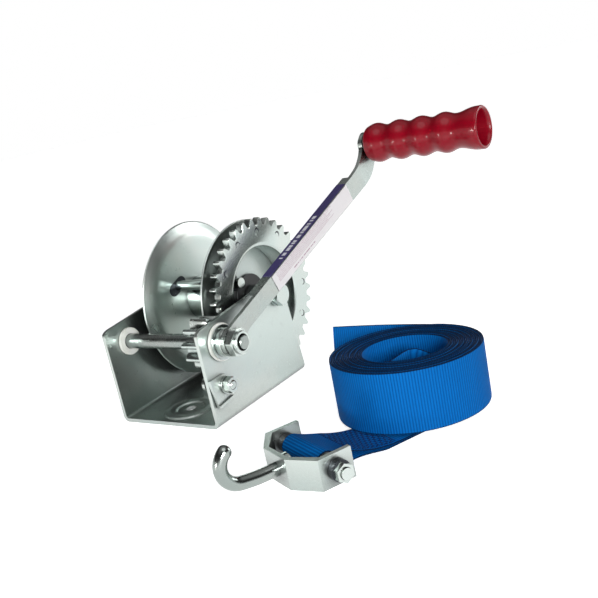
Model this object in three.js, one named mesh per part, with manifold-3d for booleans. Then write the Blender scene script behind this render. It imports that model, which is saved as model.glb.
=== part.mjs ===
// Hand winch for a boat trailer, with its strap, hook bracket and hook.
// Millimetres. +X runs along the shafts towards the crank, -Y is the open front, +Z is up.
// The origin is the middle of the base's underside.
import * as THREE from 'three';
import { mergeVertices } from 'three/addons/utils/BufferGeometryUtils.js';
import Module from 'manifold-3d';

const wasm = await Module();
wasm.setup();

// ---------- driving dimensions ----------
const degrees = (angle) => angle * Math.PI / 180;

const GAP = 0.3;                 // air between parts that touch
const RUNNING = 0.05;            // radial clearance of a shaft that turns in a bush

const frame = { width: 118, sheet: 3.5, front: -69, back: 69, bend: 6, frontHeight: 89, topRise: 0.119 };
const baseHoles = [[0, -39], [-20, 50], [20, 50]];
const baseHoleRadius = 5.2;
const drum = { y: 47.5, z: 85, hubRadius: 22, hubWall: 3, left: -34.5, right: 26, sheet: 2 };
const gear = { teeth: 36, module: 3.95, face: 48.5, thickness: 7, opening: 50 };
const rivets = { count: 6, circle: 58.5, radius: 2.6, foot: 31 };
const axle = { radius: 6, hole: 6.3, spacer: 10.5, flats: 19 };
const pinion = { teeth: 10, z: 71.5, left: 33.5, right: 54 };
const shaft = { radius: 7, end: 6, left: -68, right: 87 };
const bush = { radius: 10, farFlange: 13, nearFlange: 17 };
const arm = { angle: degrees(23), length: 267, rise: 22, sheet: 4, near: 70.5, far: 98, eye: 12.5 };
const label = { start: 72, end: 208, thickness: 0.4 };
const grip = { start: 104.5, length: 124, spindle: 5, crest: 19.7, valley: 16.8, mouth: 16.2 };
const pawl = { y: -51, z: 35.2, radius: 4, hole: 4.3, flats: 13 };
const anchor = { y: 19, z: 106, radius: 5, flats: 15 };
const strap = { width: 49, thickness: 1.5, outer: 61, inner: 33.5, x: 215, y: -2, tilt: degrees(2.2) };
const bracket = { x: 186, y: -114, heading: degrees(245), width: 76, web: 31, front: 28, back: 14, taper: 14,
  height: 24, sheet: 4 };
const clevis = { radius: 4.4, hole: 4.7, sleeve: 7.7, flats: 13 };
const hook = { radius: 5.3, straight: 9, sweep: 130, sweepTurn: degrees(9), bend: 15, turn: degrees(131),
  tip: 6 };

const pitch = (wheel) => wheel.teeth * gear.module / 2;
const cheekInside = frame.width / 2 - frame.sheet;
const cheekOutside = frame.width / 2;
const centres = pitch(gear) + pitch(pinion);
pinion.y = drum.y - Math.sqrt(centres ** 2 - (drum.z - pinion.z) ** 2);

// ---------- materials ----------
const metal = (color, roughness) => new THREE.MeshStandardMaterial({ color, roughness, metalness: 1 });
const plain = (color, roughness) => new THREE.MeshStandardMaterial({ color, roughness, metalness: 0 });
const zinc = metal(0xb9c8c4, 0.25);
const darkSteel = metal(0x34363a, 0.4);
const nylon = plain(0xe9ece8, 0.45);
const redPlastic = plain(0x9c0f22, 0.25);
const labelWhite = plain(0xf2f2f4, 0.35);
const labelBand = plain(0x3a306e, 0.35);
const webbing = plain(0x0d4fa8, 0.8);

// ---------- solids ----------
const model = new THREE.Group();

// Volume enclosed by the triangles, negative where they face inwards.
function signedVolume(points, triangles) {
  const [a, b, c] = [0, 1, 2].map(() => new THREE.Vector3());
  let volume = 0;
  for (let i = 0; i < triangles.length; i += 3) {
    [a, b, c].forEach((corner, k) => corner.fromArray(points, triangles[i + k] * 3));
    volume += a.dot(b.cross(c)) / 6;
  }
  return volume;
}

function solid(geometry) {
  geometry.deleteAttribute('normal');
  geometry.deleteAttribute('uv');
  const merged = mergeVertices(geometry.index ? geometry : geometry.clone(), 1e-5);
  const points = merged.attributes.position.array;
  const triangles = new Uint32Array(merged.index.array);
  if (signedVolume(points, triangles) < 0) triangles.reverse();
  return new wasm.Manifold(new wasm.Mesh({ numProp: 3, vertProperties: points, triVerts: triangles }));
}

function add(name, body, material) {
  const { numProp, vertProperties, triVerts } = body.getMesh();
  const points = new Float32Array(triVerts.length * 3);
  triVerts.forEach((corner, i) => {
    points.set(vertProperties.subarray(corner * numProp, corner * numProp + 3), i * 3);
  });
  const geometry = new THREE.BufferGeometry();
  geometry.setAttribute('position', new THREE.BufferAttribute(points, 3));
  const merged = mergeVertices(geometry, 1e-5);
  merged.computeVertexNormals();
  const mesh = new THREE.Mesh(merged, material);
  mesh.name = name;
  model.add(mesh);
}

const union = (...bodies) => bodies.reduce((all, body) => all.add(body));
const cut = (body, ...tools) => tools.reduce((rest, tool) => rest.subtract(tool), body);

// Extrudes an outline drawn on two axes along the third one.
function extruded(outline, from, to, basis, curveSegments = 8) {
  const options = { depth: to - from, bevelEnabled: false, curveSegments };
  const geometry = new THREE.ExtrudeGeometry(outline, options);
  geometry.translate(0, 0, from);
  geometry.applyMatrix4(new THREE.Matrix4().makeBasis(...basis));
  return solid(geometry);
}

const [X, Y, Z] = [[1, 0, 0], [0, 1, 0], [0, 0, 1]].map((v) => new THREE.Vector3(...v));
const alongX = (yzOutline, from, to, curve) => extruded(yzOutline, from, to, [Y, Z, X], curve);
const alongY = (zxOutline, from, to, curve) => extruded(zxOutline, from, to, [Z, X, Y], curve);
const alongZ = (xyOutline, from, to, curve) => extruded(xyOutline, from, to, [X, Y, Z], curve);

const outlineOf = (points) => new THREE.Shape(points.map(([a, b]) => new THREE.Vector2(a, b)));

function rectangle(a0, b0, a1, b1) {
  return outlineOf([[a0, b0], [a1, b0], [a1, b1], [a0, b1]]);
}

// Turns a closed profile of [position along the axis, radius] points about the X axis.
function turned(profile, y, z, segments = 36) {
  const points = [...profile, profile[0]].map(([x, r]) => new THREE.Vector2(Math.max(r, 0), x));
  const geometry = new THREE.LatheGeometry(points, segments);
  geometry.rotateZ(-Math.PI / 2);
  geometry.translate(0, y, z);
  return solid(geometry);
}

// A round bar along X, given anticlockwise in the half plane above its axis.
const bar = (x0, x1, r, y, z, segments = 24) => (
  turned([[x1, 0], [x1, r], [x0, r], [x0, 0]], y, z, segments));
const ring = (x0, x1, rIn, rOut, y, z, segments = 30) => (
  turned([[x0, rIn], [x1, rIn], [x1, rOut], [x0, rOut]], y, z, segments));

// A hexagon across the flats of a nut or bolt head, with its corners turned off by a cone.
function hexagon(x0, x1, flats, y, z, turnedOff = 1) {
  const corner = flats / Math.sqrt(3);
  const corners = Array.from({ length: 6 }, (_, i) => (
    [y + corner * Math.cos(i * Math.PI / 3 + 0.3), z + corner * Math.sin(i * Math.PI / 3 + 0.3)]));
  const face = flats / 2;
  const cone = turned([[x0, 0], [x1, 0], [x1, face], [x1 - turnedOff, corner], [x0, corner]], y, z, 24);
  return alongX(outlineOf(corners), x0, x1).intersect(cone);
}

function cylinderZ(z0, z1, r, x, y, segments = 24) {
  const geometry = new THREE.CylinderGeometry(r, r, z1 - z0, segments);
  geometry.rotateX(Math.PI / 2);
  geometry.translate(x, y, (z0 + z1) / 2);
  return solid(geometry);
}

function cylinderY(y0, y1, r, z, segments = 24) {
  const geometry = new THREE.CylinderGeometry(r, r, y1 - y0, segments);
  geometry.translate(0, (y0 + y1) / 2, z);
  return solid(geometry);
}

function ringY(y0, y1, rIn, rOut, z) {
  return cut(cylinderY(y0, y1, rOut, z, 28), cylinderY(y0 - 1, y1 + 1, rIn, z));
}

const hexY = (y0, y1, flats, z) => cylinderY(y0, y1, flats / Math.sqrt(3), z, 6);

// ---------- frame: one bent channel, two cheeks and a base ----------
function channelSection() {
  const half = frame.width / 2;
  const height = 120;
  const inner = frame.bend - frame.sheet;
  const section = new THREE.Shape();
  section.moveTo(height, half);
  section.lineTo(frame.bend, half);
  section.absarc(frame.bend, half - frame.bend, frame.bend, Math.PI / 2, Math.PI, false);
  section.lineTo(0, -half + frame.bend);
  section.absarc(frame.bend, -half + frame.bend, frame.bend, Math.PI, Math.PI * 1.5, false);
  section.lineTo(height, -half);
  section.lineTo(height, -half + frame.sheet);
  section.lineTo(frame.bend, -half + frame.sheet);
  section.absarc(frame.bend, -half + frame.bend, inner, Math.PI * 1.5, Math.PI, true);
  section.lineTo(frame.sheet, half - frame.bend);
  section.absarc(frame.bend, half - frame.bend, inner, Math.PI, Math.PI / 2, true);
  section.lineTo(height, half - frame.sheet);
  return section;
}

function cheekOutline() {
  const lobe = 15.5;
  const corner = 5;
  const topAt = (y) => frame.frontHeight + frame.topRise * (y - frame.front);
  const outline = new THREE.Shape();
  outline.moveTo(frame.front, -1);
  outline.lineTo(frame.back, -1);
  outline.lineTo(frame.back, 8);
  outline.lineTo(drum.y + lobe, 68);
  outline.absarc(drum.y, drum.z, lobe, -0.25, Math.PI / 2 + 0.1, false);
  outline.lineTo(frame.front + corner * 1.6, topAt(frame.front + corner * 1.6));
  outline.quadraticCurveTo(frame.front, topAt(frame.front), frame.front, frame.frontHeight - corner);
  return outline;
}

function buildFrame() {
  const channel = alongY(channelSection(), frame.front, frame.back, 6);
  const cheeks = channel.intersect(alongX(cheekOutline(), -cheekOutside - 1, cheekOutside + 1, 10));
  const holes = baseHoles.map(([x, y]) => cylinderZ(-1, 9, baseHoleRadius, x, y));
  const body = cut(
    union(cheeks, pressedRing(baseHoles[0])), ...holes,
    bar(-80, 80, bush.radius + GAP, pinion.y, pinion.z),
    bar(-80, 80, axle.radius + RUNNING, drum.y, drum.z),
    bar(40, 80, pawl.radius + RUNNING, pawl.y, pawl.z));
  add('frame', body, zinc);
}

// The stiffening ring that is pressed up around the front mounting hole.
function pressedRing([x, y]) {
  const profile = [[10, 2], [14, 4.6], [19, 5.2], [24, 4.6], [28, 2]];
  const points = [...profile, profile[0]].map(([r, z]) => new THREE.Vector2(r, z));
  const geometry = new THREE.LatheGeometry(points.reverse(), 30);
  geometry.rotateX(Math.PI / 2);
  geometry.translate(x, y, 0);
  return solid(geometry);
}

// ---------- drum: two dished flanges, a hub tube, a toothed ring ----------
// side is -1 for the left flange and 1 for the right one; the rim flares away from the strap.
function flangeProfile(inside, side, rimRadius, flare) {
  const sheet = drum.sheet;
  const at = (depth, r) => [inside + side * depth, r];
  const start = rimRadius - 19;
  const profile = [
    at(0, 19), at(0, start), at(0.18 * flare, start + 6), at(0.55 * flare, start + 12),
    at(flare, rimRadius - 1),
    at(flare + sheet * 0.5, rimRadius), at(flare + sheet, rimRadius - 0.8),
    at(0.55 * flare + sheet * 1.1, start + 11), at(0.18 * flare + sheet * 1.05, start + 5.6),
    at(sheet, start), at(sheet, 19),
  ];
  return side > 0 ? profile.reverse() : profile;
}

function buildDrum() {
  const boltHole = bar(-60, 60, anchor.radius + 0.3, anchor.y, anchor.z);
  const left = turned(flangeProfile(drum.left, -1, 77, 4.5), drum.y, drum.z, 48);
  const right = turned(flangeProfile(drum.right, 1, 73.5, 3.5), drum.y, drum.z, 48);
  const hubInside = drum.hubRadius - drum.hubWall;
  add('drum_flange_left', left.subtract(boltHole), zinc);
  add('drum_flange_right', right.subtract(boltHole), zinc);
  const tube = [drum.left + GAP, drum.right - GAP, hubInside, drum.hubRadius];
  add('drum_hub', ring(...tube, drum.y, drum.z), zinc);
  [['left', drum.left, -1], ['right', drum.right, 1]].forEach(([name, inside, side]) => {
    const x = (depth) => inside + side * depth;
    const [face, seat, end] = [x(drum.sheet + 2.5), x(drum.sheet + GAP), x(-14)];
    const bore = axle.radius + RUNNING;
    const sleeve = [[face, bore], [end, bore], [end, hubInside - GAP], [seat, hubInside - GAP],
      [seat, hubInside + 2], [face, hubInside + 2]];
    add(`hub_bush_${name}`, turned(side > 0 ? sleeve.reverse() : sleeve, drum.y, drum.z), nylon);
  });
}

const involute = (angle) => Math.tan(angle) - angle;

// Outline of a spur wheel with involute flanks; a tooth is centred on the angle `phase`.
function toothedOutline(wheel, y, z, phase) {
  const pressure = 25 * Math.PI / 180;
  const pitchRadius = pitch(wheel);
  const base = pitchRadius * Math.cos(pressure);
  const tip = pitchRadius + 0.8 * gear.module;
  const root = pitchRadius - 0.93 * gear.module;
  const backlash = 0.35;
  const half = (r) => Math.PI / 2 / wheel.teeth - backlash / pitchRadius
    + involute(pressure) - involute(Math.acos(Math.min(1, base / r)));
  const flank = [root, Math.max(base, root + 0.5), pitchRadius, tip];
  const points = [];
  for (let tooth = 0; tooth < wheel.teeth; tooth += 1) {
    const middle = phase + tooth * 2 * Math.PI / wheel.teeth;
    const side = (r, sign) => {
      const turn = middle + sign * half(Math.max(r, base));
      points.push([y + r * Math.cos(turn), z + r * Math.sin(turn)]);
    };
    flank.forEach((r) => side(r, -1));
    [...flank].reverse().forEach((r) => side(r, 1));
  }
  return outlineOf(points);
}

const meshLine = Math.atan2(pinion.z - drum.z, pinion.y - drum.y);
function rivetCentre(i) {
  const turn = (i + 0.4) * 2 * Math.PI / rivets.count;
  return [drum.y + rivets.circle * Math.cos(turn), drum.z + rivets.circle * Math.sin(turn)];
}

function buildGear() {
  const back = gear.face - gear.thickness;
  const foot = drum.right + drum.sheet + GAP;
  const teeth = alongX(toothedOutline(gear, drum.y, drum.z, meshLine), back, gear.face);
  const { face, opening } = gear;
  const wall = turned([[foot, opening - 3], [face - 3, opening - 3], [face - 0.9, opening - 2.1],
    [face, opening], [face, opening + 3], [back, opening + 3], [back - 2.5, opening + 0.7],
    [foot + 4, opening], [foot, opening]], drum.y, drum.z, 48);
  const bore = bar(back - 1, gear.face + 1, gear.opening, drum.y, drum.z, 48);
  const holes = Array.from({ length: rivets.count }, (_, i) => (
    bar(back - 1, gear.face + 1, rivets.radius + 0.3, ...rivetCentre(i), 10)));
  add('drum_gear', cut(union(teeth.subtract(bore), wall), ...holes), zinc);
  for (let i = 0; i < rivets.count; i += 1) {
    const end = gear.face + 0.2;
    const shank = [[rivets.foot, 0], [end, 0], [end, rivets.radius - 0.6], [end - 0.6, rivets.radius],
      [rivets.foot, rivets.radius]];
    add(`gear_rivet_${i + 1}`, turned(shank, ...rivetCentre(i), 10), zinc);
  }
}

// The bolt across the drum that holds the strap's inner end.
function buildAnchor() {
  const { y, z, radius } = anchor;
  const head = drum.left - drum.sheet - GAP;
  const seat = drum.right + drum.sheet + GAP;
  const shank = bar(head - 0.5, 45.5, radius, y, z);
  add('anchor_bolt', union(shank, hexagon(head - 5, head, anchor.flats, y, z)), zinc);
  const nut = hexagon(seat, seat + 8, anchor.flats, y, z);
  add('anchor_nut', nut.subtract(bar(20, 50, radius + GAP, y, z)), darkSteel);
}

// ---------- drum axle: a bolt through both cheeks with two spacers ----------
function buildAxle() {
  const { y, z } = drum;
  const bushFace = drum.sheet + 2.5 + GAP;
  const outside = cheekOutside + GAP;
  const head = outside + 2 + GAP;
  const shank = bar(-outside - 11, head + 1, axle.radius, y, z);
  add('axle_bolt', union(shank, hexagon(head, head + 6.5, axle.flats, y, z)), zinc);
  add('axle_washer', ring(outside, outside + 2, axle.hole, 11, y, z), zinc);
  const nut = hexagon(-outside - 8.5, -outside, axle.flats, y, z);
  add('axle_nut', nut.subtract(bar(-80, -50, axle.hole, y, z)), zinc);
  const spacer = (x0, x1) => ring(x0, x1, axle.hole, axle.spacer, y, z);
  add('axle_spacer_right', spacer(drum.right + bushFace, cheekInside - GAP), zinc);
  add('axle_spacer_left', spacer(-cheekInside + GAP, drum.left - bushFace), zinc);
}

// ---------- crank shaft, pinion, bushes and washers ----------
function buildShaft() {
  const { y, z } = pinion;
  const { left, right: end } = shaft;
  const shoulder = arm.near - 2;
  const [grooveStart, grooveEnd] = [left + 2.6, left + 4.4];
  const profile = [[left, 0], [end, 0], [end, shaft.end - 1.2], [end - 1.2, shaft.end], [shoulder, shaft.end],
    [shoulder, shaft.radius], [grooveEnd, shaft.radius], [grooveEnd, 5.6],
    [grooveStart, 5.6], [grooveStart, shaft.radius], [left + 1, shaft.radius], [left, shaft.radius - 1]];
  add('crank_shaft', turned(profile, y, z, 30), zinc);
  const phase = meshLine + Math.PI + Math.PI / pinion.teeth;
  const teeth = alongX(toothedOutline(pinion, y, z, phase), pinion.left, pinion.right);
  const way = bar(pinion.left - 1, pinion.right + 1, shaft.radius + GAP, y, z);
  add('pinion', teeth.subtract(way), zinc);
  const clip = ring(left + 2.8, left + 4.2, 5.8, 9.5, y, z);
  add('shaft_clip', clip.subtract(alongX(rectangle(y - 3, z - 12, y + 3, z - 4), -90, 0)), darkSteel);
  buildBushes(y, z);
  buildWashers(y, z);
}

// One flanged bush from the outside of the near cheek, one from the inside of the far cheek.
function buildBushes(y, z) {
  const bore = shaft.radius + RUNNING;
  const flanged = (start, seat, face, flange) => turned([
    [start, bore], [face, bore], [face, flange - 1], [face - 1, flange], [seat, flange],
    [seat, bush.radius], [start, bush.radius]], y, z, 30);
  const near = flanged(cheekInside, cheekOutside + GAP, cheekOutside + 2.8, bush.nearFlange);
  const far = flanged(-cheekOutside, -cheekInside + GAP, -cheekInside + 3.4, bush.farFlange);
  add('shaft_bush_near', near, nylon);
  add('shaft_bush_far', far, nylon);
}

function buildWashers(y, z) {
  const hole = shaft.radius + GAP;
  const washer = (x0, x1, radius) => ring(x0, x1, hole, radius, y, z);
  add('shaft_washer_near', washer(cheekOutside + 3.1, cheekOutside + 4.7, 15.5), zinc);
  add('shaft_washer_far', washer(shaft.left + 4.6, shaft.left + 6.2, 12), zinc);
  add('crank_spacer', washer(cheekOutside + 5, arm.near - GAP, 13), zinc);
  const start = arm.near + arm.sheet + GAP;
  const collar = ring(start + 7.9, start + 10, shaft.radius, 10, y, z);
  const nut = union(hexagon(start, start + 8, 23, y, z), collar);
  add('crank_nut', nut.subtract(bar(60, 90, shaft.end + GAP, y, z)), zinc);
}

// ---------- crank arm: a pressed channel with an eye at each end ----------
// The arm is drawn straight: b runs from the shaft to the grip, c is across the arm.
const armX = { lowEnd: 20, highStart: 235 };
const armSlope = (arm.far - arm.near) / (armX.highStart - armX.lowEnd);

function armBand(inward, outward) {
  const line = [[arm.near, -20], [arm.near, armX.lowEnd], [arm.far, armX.highStart], [arm.far, 300]];
  const outer = line.map(([x, b]) => [x + outward, b]);
  const inner = line.map(([x, b]) => [x - inward, b]).reverse();
  return alongZ(outlineOf([...inner, ...outer]), -40, 60);
}

function armOutline() {
  const outline = new THREE.Shape();
  const { eye } = arm;
  outline.absarc(0, 0, eye, 1.6, 4.9, false);
  outline.lineTo(24, -6);
  outline.lineTo(246, -6);
  outline.quadraticCurveTo(270, -3, arm.length + eye - 0.5, arm.rise - 4);
  outline.absarc(arm.length, arm.rise, eye, -0.2, 2.8, false);
  outline.quadraticCurveTo(246, 16, 222, 14.5);
  outline.lineTo(24, 11);
  return outline;
}

function placeArmPiece(body) {
  return body.rotate([arm.angle * 180 / Math.PI, 0, 0]).translate([0, pinion.y, pinion.z]);
}

const armEdge = (b) => 11 + (b - 24) * 3.5 / 198;      // upper edge of the straight stretch
const lipFrom = 50;
const lipTo = 232;

function buildArm() {
  const web = armBand(0, arm.sheet).intersect(alongX(armOutline(), 50, 120, 10));
  const upperLip = armBand(6.5, arm.sheet).intersect(alongX(outlineOf([
    [lipFrom, armEdge(lipFrom) - 2.6], [lipTo - 12, armEdge(lipTo - 12) - 2.6],
    [lipTo - 12, armEdge(lipTo - 12)], [lipFrom, armEdge(lipFrom)]]), 50, 120));
  const lowerEdge = rectangle(lipFrom + 4, -6, lipTo - 12, -3.4);
  const lowerLip = armBand(6.5, arm.sheet).intersect(alongX(lowerEdge, 50, 120));
  const shaftHole = bar(50, 120, shaft.end + GAP, 0, 0);
  const spindleHole = bar(50, 120, grip.spindle + GAP, arm.length, arm.rise);
  const holes = union(shaftHole, spindleHole);
  add('crank_arm', placeArmPiece(cut(union(web, upperLip, lowerLip), holes)), zinc);
}

// The label is one printed sheet in two fields: a dark band on the lip and a white field on the web.
function buildLabel() {
  const { start, end, thickness } = label;
  const white = armBand(-arm.sheet - GAP, arm.sheet + GAP + thickness).intersect(alongX(outlineOf([
    [start, -5.2], [end, -5.2], [end, armEdge(end) - 0.5], [start, armEdge(start) - 0.5]]), 50, 130));
  const band = armBand(6, arm.sheet - 0.5).intersect(alongX(outlineOf([
    [start, armEdge(start) + GAP], [end, armEdge(end) + GAP],
    [end, armEdge(end) + GAP + thickness], [start, armEdge(start) + GAP + thickness]]), 50, 130));
  add('label_field', placeArmPiece(white), labelWhite);
  add('label_band', placeArmPiece(band), labelBand);
}

// ---------- grip on its spindle ----------
const gripCentre = [
  pinion.y + arm.length * Math.cos(arm.angle) - arm.rise * Math.sin(arm.angle),
  pinion.z + arm.length * Math.sin(arm.angle) + arm.rise * Math.cos(arm.angle),
];

function gripRadius(s) {
  const swell = 24.8;
  const firstCrest = 11;
  const lastValley = firstCrest + 3.5 * swell;
  if (s < 4) return 12.5 + Math.sqrt(4 ** 2 - (4 - s) ** 2) * 1.35;
  const middle = (grip.crest + grip.valley) / 2;
  const depth = (grip.crest - grip.valley) / 2;
  if (s < lastValley) return middle + depth * Math.cos(2 * Math.PI * (s - firstCrest) / swell);
  const flare = Math.min(1, (s - lastValley) / (grip.length - 6 - lastValley));
  return grip.valley + (20.4 - grip.valley) * (0.5 - 0.5 * Math.cos(Math.PI * flare));
}

function buildGrip() {
  const [y, z] = gripCentre;
  const bore = grip.spindle + RUNNING;
  const hole = grip.spindle + 0.2;
  const floor = grip.start + 70;
  const end = grip.start + grip.length;
  const steps = 28;
  const outside = Array.from({ length: steps + 1 }, (_, i) => {
    const s = (grip.length - 2) * i / steps;
    return [grip.start + s, gripRadius(s)];
  });
  const inside = [[end, 18.4], [end - 1, 17], [end - 4, grip.mouth], [floor + 4, 13.5],
    [floor, 11.5], [floor, bore]];
  add('grip', turned([[grip.start, bore], ...outside, ...inside].reverse(), y, z, 32), redPlastic);
  const eyeInside = arm.far - GAP;
  const spindle = [[eyeInside - 3.5, 0], [floor + 14, 0], [floor + 14, 4], [floor + 13, grip.spindle],
    [eyeInside, grip.spindle],
    [eyeInside, 9], [eyeInside - 2.5, 9], [eyeInside - 3.5, 8]];
  add('grip_spindle', turned(spindle, y, z, 28), zinc);
  add('spindle_collar', ring(arm.far + arm.sheet + 0.2, grip.start - 0.4, hole, 9, y, z, 28), zinc);
  add('grip_washer', ring(floor + 0.5, floor + 2, hole, 10.5, y, z, 28), zinc);
  const nut = hexagon(floor + 2.3, floor + 9, 13, y, z);
  add('grip_nut', nut.subtract(bar(90, 220, grip.spindle + GAP, y, z)), zinc);
}

// ---------- pawl ----------
function pawlOutline() {
  const { y, z } = pawl;
  const outline = new THREE.Shape();
  outline.absarc(y, z, 8, Math.PI * 0.85, Math.PI * 2.15, false);
  outline.lineTo(y + 16.4, z + 9.3);
  outline.lineTo(y + 15.5, z + 12.2);
  outline.lineTo(y + 4.2, z + 8.1);
  return outline;
}

// The lever's plate with the foot that is folded outwards along its lower edge.
function buildLever(outside) {
  const { y, z } = pawl;
  const lever = new THREE.Shape();
  lever.moveTo(y - 18.7, z + 10);
  lever.lineTo(y - 15, z - 16);
  lever.lineTo(y + 4, z - 13.5);
  lever.absarc(y, z, 8.5, -0.6, 1.2, false);
  lever.lineTo(y + 1.5, z + 9.6);
  const foot = outlineOf([[y - 14.9, z - 16], [y + 4, z - 13.5], [y + 4, z - 11.5], [y - 15.1, z - 14]]);
  return union(alongX(lever, outside, outside + 2.8), alongX(foot, outside, outside + 5));
}

function buildPawl() {
  const { y, z, radius, hole } = pawl;
  const outside = cheekOutside + 0.4;
  const way = bar(0, 90, hole, y, z);
  add('pawl', cut(alongX(pawlOutline(), cheekInside - 5, cheekInside - 0.4), way), darkSteel);
  add('pawl_lever', cut(buildLever(outside), way), zinc);
  const end = outside + 11.6;
  const head = cheekInside - 12.5;
  const bolt = [[head - 4, 0], [end, 0], [end, radius - 1], [end - 1, radius], [head, radius],
    [head, 7], [head - 3, 7], [head - 4, 5.5]];
  add('pawl_bolt', turned(bolt, y, z, 24), zinc);
  add('pawl_washer', ring(outside + 3.1, outside + 4.5, hole, 8, y, z, 28), zinc);
  add('pawl_spring', buildSpring(head + 1.3, cheekInside - 6.3, 5.9, 0.8, 3), darkSteel);
  add('pawl_nut', cut(hexagon(outside + 4.8, outside + 10.8, pawl.flats, y, z), way), zinc);
}

// A helical spring along X about the pawl's bolt.
function buildSpring(x0, x1, coilRadius, wireRadius, turns) {
  class Helix extends THREE.Curve {
    getPoint(t, target = new THREE.Vector3()) {
      const turn = t * turns * 2 * Math.PI;
      const [side, up] = [coilRadius * Math.cos(turn), coilRadius * Math.sin(turn)];
      return target.set(x0 + (x1 - x0) * t, pawl.y + side, pawl.z + up);
    }
  }
  const wire = new THREE.Shape();
  wire.absarc(0, 0, wireRadius, 0, Math.PI * 2, false);
  const options = { extrudePath: new Helix(), steps: 42, bevelEnabled: false, curveSegments: 4 };
  return solid(new THREE.ExtrudeGeometry(wire, options));
}

// ---------- strap: roll, loose outer end, and the stretch that leads to the hook ----------
const floorGap = 0.4;          // the strap lies this far above the floor

// The roll leans back over the stretch that runs under it.
function buildRoll() {
  const { x, y, width, inner, outer } = strap;
  const profile = [[inner, 0], [outer, 0], [outer, width], [inner, width], [inner, 0]];
  const roll = new THREE.LatheGeometry(profile.map(([r, z]) => new THREE.Vector2(r, z)), 56);
  roll.rotateX(Math.PI / 2);
  roll.translate(0, -outer, 0);
  roll.rotateX(-strap.tilt);
  roll.translate(x, y + outer, floorGap);
  return solid(roll);
}

// The loose end leaves the roll at the back, drawn as two curves one thickness apart.
function buildTail() {
  const { x, y, width, thickness, outer } = strap;
  const back = y + outer;
  const tail = new THREE.Shape();
  tail.moveTo(x - 6, back + 1.6);
  tail.bezierCurveTo(x - 45, back + 2.5, x - 75, back - 2, x - 107, back - 5);
  tail.lineTo(x - 107, back - 5 + thickness);
  tail.bezierCurveTo(
    x - 75, back - 2 + thickness, x - 45, back + 2.5 + thickness, x - 6, back + 1.6 + thickness);
  return alongZ(tail, floorGap, floorGap + width, 10);
}

function buildStrap() {
  add('strap_roll', buildRoll(), webbing);
  add('strap_tail', buildTail(), webbing);
  add('strap_run', placeOnBracket(buildRun(), bracket.heading + Math.PI), webbing);
}

// Side view of the stretch: a loop round the sleeve, closed by stitching, then two layers that slope down
// to the floor and lie on it under the roll.
function buildRun() {
  const { width, thickness } = strap;
  const [z, loop] = [bracket.height / 2, clevis.sleeve + 0.3 + thickness];
  const [sewn, landing, far, floor] = [24, 54, 104, floorGap];
  const side = new THREE.Shape();
  side.absarc(0, z, loop, Math.PI / 3, Math.PI * 5 / 3, false);
  side.quadraticCurveTo(14, 4.5, sewn, z - 3.4);
  side.quadraticCurveTo(landing - 12, floor + 1, landing, floor);
  side.lineTo(far, floor);
  side.lineTo(far, floor + 2 * thickness);
  side.lineTo(landing, floor + 2 * thickness);
  side.quadraticCurveTo(landing - 11, floor + 1 + 2 * thickness, sewn + 1, z - 0.4);
  side.quadraticCurveTo(16, 13.5, loop / 2, z + loop * Math.sin(Math.PI / 3));
  const eye = new THREE.Path();
  eye.absarc(0, z, loop - thickness, 0, Math.PI * 2, true);
  side.holes.push(eye);
  return extruded(side, -width / 2, width / 2, [X, Z, Y.clone().negate()], 10);
}

// ---------- hook bracket: plan of a half octagon, with its clevis bolt and swivel hook ----------
// Drawn with the clevis bolt on Y at the origin and the hook towards -X.

function placeOnBracket(body, heading) {
  return body.rotate([0, 0, heading * 180 / Math.PI]).translate([bracket.x, bracket.y, 0]);
}

function bracketPlan(half, front) {
  const { back, taper, width } = bracket;
  const web = bracket.web * half / width;
  const diagonal = front - taper;
  return [[back, half], [-diagonal, half], [-front, web], [-front, -web], [-diagonal, -half], [back, -half]];
}

function buildBracket() {
  const { front, height, sheet } = bracket;
  const half = bracket.width / 2;
  const outside = bracketPlan(half, front);
  const inside = bracketPlan(half - sheet, front - sheet).reverse();
  const boltHole = cylinderY(-60, 60, clevis.hole, height / 2);
  const hookHole = bar(-40, 0, hook.radius + RUNNING, 0, height / 2);
  const body = cut(alongZ(outlineOf([...outside, ...inside]), 0, height), boltHole, hookHole);
  const place = (piece) => placeOnBracket(piece, bracket.heading + Math.PI);
  add('hook_bracket', place(body), zinc);
  const face = half + GAP;
  const shank = cylinderY(-face - 12.5, face + 0.5, clevis.radius, height / 2);
  const nut = hexY(-face - 11, -face - 5.3, clevis.flats, height / 2);
  add('clevis_bolt', place(union(shank, hexY(face, face + 6, clevis.flats, height / 2))), zinc);
  add('clevis_washer', place(ringY(-face - 5, -face, clevis.hole, 8.2, height / 2)), darkSteel);
  add('clevis_nut', place(cut(nut, cylinderY(-80, 0, clevis.hole, height / 2))), zinc);
  const reach = half - sheet - 0.5;
  add('clevis_sleeve', place(ringY(-reach, reach, clevis.hole, clevis.sleeve, height / 2)), nylon);
  buildHook(place, height / 2);
}

// An arc in the bracket's upright plane that starts at a point with a slope and turns upwards.
class UpwardArc extends THREE.Curve {
  constructor(start, slope, radius, turn) {
    super();
    Object.assign(this, { start, slope, radius, turn });
  }

  getPoint(t, target = new THREE.Vector3()) {
    const end = this.slope + t * this.turn;
    return target.set(
      this.start.x - this.radius * (Math.sin(end) - Math.sin(this.slope)), 0,
      this.start.z + this.radius * (Math.cos(this.slope) - Math.cos(end)));
  }
}

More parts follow.
